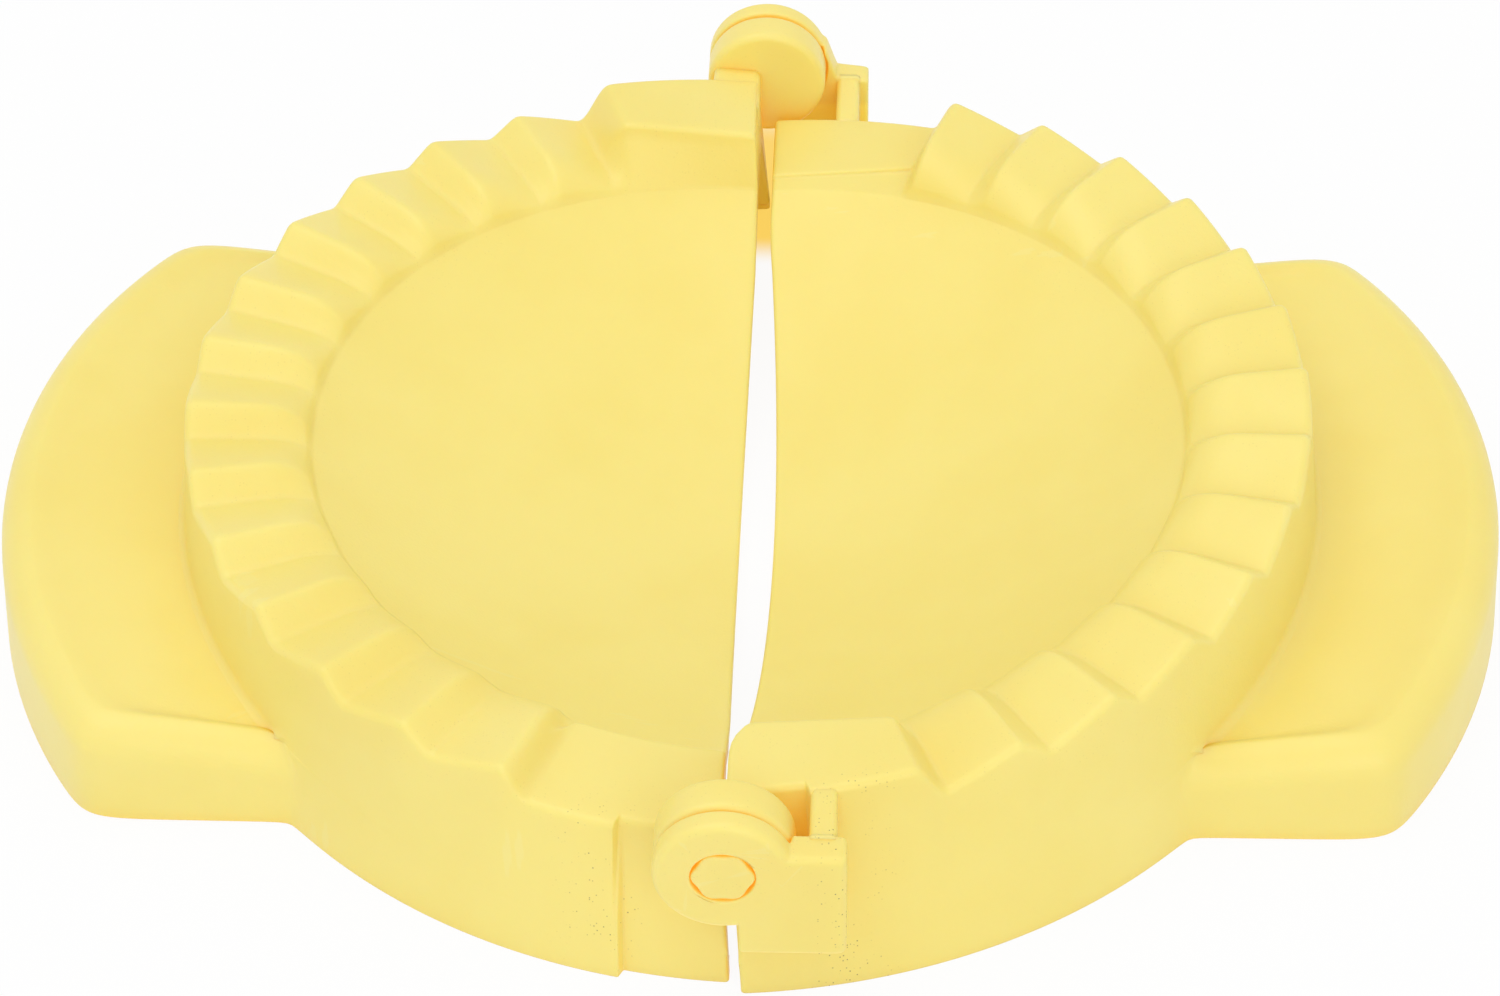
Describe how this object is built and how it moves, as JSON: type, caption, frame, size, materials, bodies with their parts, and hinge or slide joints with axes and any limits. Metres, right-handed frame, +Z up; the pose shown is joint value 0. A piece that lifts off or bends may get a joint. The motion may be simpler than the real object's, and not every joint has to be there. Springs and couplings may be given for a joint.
{
  "type": "empanada press",
  "caption": "Small hinged dough press, open: two half-round plastic bowls with toothed rims and hollow wing grips, joined by snap-in pins.",
  "frame": {"origin": "on the table, under the middle of the hinge line, halfway between the two ears", "axes": "+Y along the hinge line towards the back of the press, +X from the hinge line towards the ear jaw's grip, +Z up from the table"},
  "size_m": [0.1406, 0.1192, 0.0227],
  "materials": {
    "yellow_plastic": "satin, slightly translucent polypropylene"
  },
  "bodies": {
    "pin_jaw": {"pin_jaw": "yellow_plastic"},
    "ear_jaw": {"ear_jaw": "yellow_plastic"}
  },
  "joints": [
    {"name": "jaw_hinge", "type": "hinge", "parent": "pin_jaw", "child": "ear_jaw", "pos_m": [0, 0, 0.0168], "axis": [0, -1, 0], "range_deg": [0, 170.6]}
  ]
}
